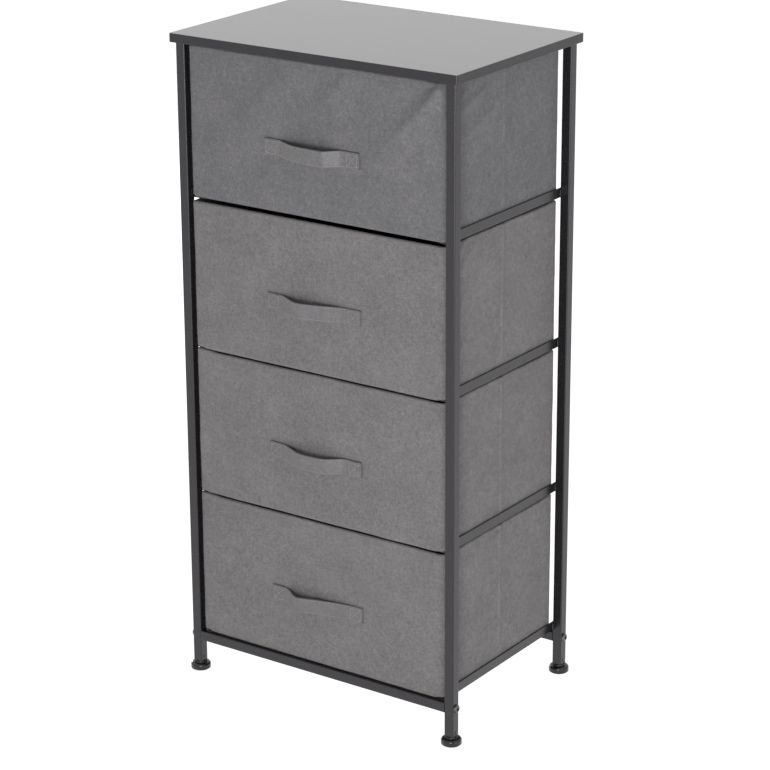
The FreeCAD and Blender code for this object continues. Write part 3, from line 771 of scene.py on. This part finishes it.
# Rings of a stitch: share of its length, share of its radius, and lift in radii
STITCH_RINGS = ((0.0, 0.35, -0.5), (0.15, 0.85, 0.35), (0.5, 1.0, 0.6), (0.85, 0.85, 0.35),
                (1.0, 0.35, -0.5))
STRAP_SEAM_INSET = 3.0
STRAP_EDGE_INSET = 1.9
HEM_SEAM_BELOW = 9.5


def stitch(points, faces, start, end, out, radius):
    """One stitch: a short thread that dips into the cloth at both ends."""
    run = (end - start).normalized()
    across = run.cross(out).normalized()
    first = len(points)
    for share, size, lift in STITCH_RINGS:
        centre = start.lerp(end, share) + out * radius * lift
        for k in range(STITCH_SIDES):
            angle = 2 * math.pi * k / STITCH_SIDES
            offset = across * math.cos(angle) + out * math.sin(angle)
            points.append(centre + offset * radius * size)
    last = first + (len(STITCH_RINGS) - 1) * STITCH_SIDES
    for ring in range(first, last, STITCH_SIDES):
        faces += quads(ring, ring + STITCH_SIDES, STITCH_SIDES)
    faces.append(tuple(first + k for k in range(STITCH_SIDES))[::-1])
    faces.append(tuple(last + k for k in range(STITCH_SIDES)))


def seam(points, faces, place, length, out, pitch=3.4, gap=0.9, radius=0.32):
    """A row of stitches along place(distance), a function over length."""
    count = max(1, round(length / pitch))
    pitch = length / count
    for k in range(count):
        start = k * pitch + gap / 2
        stitch(points, faces, place(start), place(start + pitch - gap), out, radius)


def strap_stitches(strap, points, faces):
    """A box with a cross on each sewn end, and a row along both edges."""
    inset = STRAP_SEAM_INSET
    outward = Vector((0, -1, 0))
    for left in (0.0, strap.length - strap.END):
        low, high = inset, strap.width - inset
        near, far = left + inset, left + strap.END - inset
        corners = ((near, low), (far, low), (far, high), (near, high))
        lines = [(corners[k], corners[(k + 1) % 4]) for k in range(4)]
        lines += [(corners[0], corners[2]), (corners[1], corners[3])]
        for (a0, u0), (a1, u1) in lines:
            length = math.hypot(a1 - a0, u1 - u0)

            def place(d, a0=a0, u0=u0, a1=a1, u1=u1, length=length):
                return strap.surface(a0 + (a1 - a0) * d / length, u0 + (u1 - u0) * d / length)

            seam(points, faces, place, length, outward, pitch=3.0, gap=0.7, radius=0.44)
    free = strap.length - 2 * strap.END
    for up in (STRAP_EDGE_INSET, strap.width - STRAP_EDGE_INSET):
        def edge(d, up=up):
            return strap.surface(strap.END + d, up)

        seam(points, faces, edge, free, outward, pitch=3.2, radius=0.3)


def hem_stitches(cloth_bin, points, faces):
    """A row round the bin below its rim."""
    level = cloth_bin.height - HEM_SEAM_BELOW
    for side, (_, along, length) in enumerate(cloth_bin.sides):
        out = Vector((along.y, -along.x, 0))
        first = cloth_bin.RADII[side - 1] + 1
        run = length - first - cloth_bin.RADII[side] - 1

        def place(d, side=side, first=first):
            return cloth_bin.wall_point((side, first + d, 0.0), 0.0, level)

        seam(points, faces, place, run, out, pitch=4.0, gap=1.2, radius=0.24)


for number in DRAWERS:
    cloth_bin = Bin(number)
    cloth_bin.make_skin()
    cloth_bin.make_lining()
    strap = Strap(number)
    strap.make()
    sewn_points, sewn_faces = [], []
    strap_stitches(strap, sewn_points, sewn_faces)
    add_piece(f"drawer_{number}_strap_stitches", sewn_points, sewn_faces, thread,
              f"drawer_{number}")
    hem_points, hem_faces = [], []
    hem_stitches(cloth_bin, hem_points, hem_faces)
    add_piece(f"drawer_{number}_hem_stitches", hem_points, hem_faces, cloth_bin.cloth,
              f"drawer_{number}")


# Welds where the rails meet the posts

WELD_LEG = 2.3
WELD_RIPPLE = 0.35
WELD_ROUND = 0.55
WELD_ROOT = 0.4


def weld_bead(points, faces, corner, reach_x, reach_y, low, high):
    """A rippled bead in the corner of two faces, from one level to another."""
    rings, sides = 24, 8
    first = len(points)
    for ring in range(rings + 1):
        share = ring / rings
        end = min(1.0, 4 * share, 4 * (1 - share) + 0.05)
        leg = (WELD_LEG + WELD_RIPPLE * math.sin(ring * 1.9)) * math.sqrt(max(end, 0.05))
        level = low + (high - low) * share
        for k in range(sides):
            angle = 2 * math.pi * k / sides
            x = WELD_ROUND * leg * (1 + math.cos(angle)) - WELD_ROOT
            y = WELD_ROUND * leg * (1 + math.sin(angle)) - WELD_ROOT
            points.append(Vector((corner[0] + reach_x * x, corner[1] + reach_y * y, level)))
    turned = 1 if reach_x * reach_y > 0 else -1
    last = first + rings * sides
    for ring in range(first, last, sides):
        faces += [corners[::turned] for corners in quads(ring, ring + sides, sides)]
    faces.append(tuple(first + k for k in range(sides))[::-turned])
    faces.append(tuple(last + k for k in range(sides))[::turned])


weld_points, weld_faces = [], []
for hand, outward in (("left", -1), ("right", 1)):
    front_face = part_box(f"post_front_{hand}")[1].y / MM
    rear_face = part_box(f"post_rear_{hand}")[0].y / MM
    for number in DRAWERS:
        low, high = (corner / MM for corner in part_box(f"rail_{hand}_{number}"))
        plane = high.x if outward > 0 else low.x
        weld_bead(weld_points, weld_faces, (plane, front_face), outward, 1, low.z + 1, high.z - 1)
        weld_bead(weld_points, weld_faces, (plane, rear_face), outward, -1, low.z + 1, high.z - 1)
add_piece("rail_welds", weld_points, weld_faces, paint, "frame")


# Snap buttons that hold the foot inserts, on both side faces of each post

BUTTON_RISE = 4.2
BUTTON_RADIUS = 2.6
BUTTON_HEIGHT = 0.9
BUTTON_SUNK = 0.2


def snap_button(points, faces, centre, outward):
    """A low round button on a face that looks left or right."""
    rings, sides = 6, 20
    first = len(points)
    for ring in range(rings):
        angle = math.pi / 2 * ring / rings
        rise = outward * BUTTON_HEIGHT * (math.sin(angle) - BUTTON_SUNK)
        radius = BUTTON_RADIUS * math.cos(angle)
        for k in range(sides):
            turn = 2 * math.pi * k / sides * outward
            spot = Vector((rise, radius * math.cos(turn), radius * math.sin(turn)))
            points.append(centre + spot)
    last = first + (rings - 1) * sides
    for ring in range(first, last, sides):
        faces += quads(ring, ring + sides, sides)
    faces.append(tuple(first + k for k in range(sides))[::-1])
    faces.append(tuple(last + k for k in range(sides)))


button_points, button_faces = [], []
for post in ("front_left", "front_right", "rear_left", "rear_right"):
    low, high = (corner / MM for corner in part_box(f"post_{post}"))
    middle = (low.y + high.y) / 2
    for plane, outward in ((low.x, -1), (high.x, 1)):
        centre = Vector((plane, middle, low.z + BUTTON_RISE))
        snap_button(button_points, button_faces, centre, outward)
add_piece("insert_buttons", button_points, button_faces, FINISHES["foot_plastic"], "frame")


# Stage, light and camera

FLOOR_SIZE = 14.0
FLOOR_GLOW = 0.86
FLOOR_BOUNCE = 0.37
WORLD_LIGHT = 0.20
LAMP_TARGET = Vector((0, 0, 0.5))
LAMP_DISTANCE = 3.2


def by_sight(tree, unseen, seen, socket):
    """Feeds a socket one value where the camera or a reflection looks, another for plain light."""
    path = tree.nodes.new("ShaderNodeLightPath")
    looked_at = path.outputs["Is Camera Ray"]
    for kind in ("Is Glossy Ray", "Is Transmission Ray"):
        either = tree.nodes.new("ShaderNodeMath")
        either.operation = "MAXIMUM"
        tree.links.new(looked_at, either.inputs[0])
        tree.links.new(path.outputs[kind], either.inputs[1])
        looked_at = either.outputs[0]
    level = tree.nodes.new("ShaderNodeMapRange")
    level.inputs["To Min"].default_value = unseen
    level.inputs["To Max"].default_value = seen
    tree.links.new(looked_at, level.inputs["Value"])
    tree.links.new(level.outputs["Result"], socket)


floor_mesh = bpy.data.meshes.new("floor")
floor_corners = [(x * FLOOR_SIZE, y * FLOOR_SIZE, 0)
                 for x, y in ((-1, -1), (1, -1), (1, 1), (-1, 1))]
floor_mesh.from_pydata(floor_corners, [], [(0, 1, 2, 3)])
floor = bpy.data.objects.new("floor", floor_mesh)
bpy.context.scene.collection.objects.link(floor)
pale = Finish("pale_floor", Roughness=0.9, Specular_IOR_Level=0.1)
pale.colour(pale.noise(400, detail=2.0), (0.3, "f4f4f4"), (0.7, "f7f7f7"))
pale.surface.inputs["Emission Color"].default_value = (1, 1, 1, 1)
by_sight(pale.tree, FLOOR_BOUNCE, FLOOR_GLOW, pale.surface.inputs["Emission Strength"])
pale.material.cycles.emission_sampling = "NONE"
floor_mesh.materials.append(pale.material)

world = bpy.data.worlds.new("studio")
bpy.context.scene.world = world
world.use_nodes = True
tree = world.node_tree
background = tree.nodes["Background"]
by_sight(tree, WORLD_LIGHT, 1.0, background.inputs["Strength"])
background.inputs["Color"].default_value = (1, 1, 1, 1)


def add_softbox(name, azimuth, elevation, size, power):
    """Square lamp that looks at the middle of the object, from a direction in degrees."""
    lamp = bpy.data.lights.new(name, "AREA")
    lamp.size = size
    lamp.energy = power
    box = bpy.data.objects.new(name, lamp)
    bpy.context.scene.collection.objects.link(box)
    a, e = math.radians(azimuth), math.radians(elevation)
    back = Vector((math.sin(a) * math.cos(e), -math.cos(a) * math.cos(e), math.sin(e)))
    box.location = LAMP_TARGET + back * LAMP_DISTANCE
    box.rotation_mode = "QUATERNION"
    box.rotation_quaternion = (-back).to_track_quat("-Z", "Y")


add_softbox("key", 29, 2, 0.9, 41.5)
add_softbox("side", 80, 4, 0.9, 8)
add_softbox("back", 242, 1.5, 0.54, 26)

CAMERA_PLACE = Vector((2.020, -2.8805, 1.658))
CAMERA_YAW = math.radians(34.87)
CAMERA_PITCH = math.radians(19.32)
CAMERA_ROLL = math.radians(-0.27)
CAMERA_LENS = 128.2
forward = Vector((-math.sin(CAMERA_YAW) * math.cos(CAMERA_PITCH),
                  math.cos(CAMERA_YAW) * math.cos(CAMERA_PITCH), -math.sin(CAMERA_PITCH)))
level_right = Vector((math.cos(CAMERA_YAW), math.sin(CAMERA_YAW), 0))
level_up = level_right.cross(forward)
right = level_right * math.cos(CAMERA_ROLL) + level_up * math.sin(CAMERA_ROLL)
up = level_up * math.cos(CAMERA_ROLL) - level_right * math.sin(CAMERA_ROLL)
lens = bpy.data.cameras.new("camera")
lens.lens = CAMERA_LENS
lens.sensor_width = 36.0
lens.clip_end = 100.0
camera = bpy.data.objects.new("camera", lens)
bpy.context.scene.collection.objects.link(camera)
camera.matrix_world = Matrix((right, up, -forward)).transposed().to_4x4()
camera.location = CAMERA_PLACE
bpy.context.scene.camera = camera
bpy.context.scene.view_settings.view_transform = "Standard"
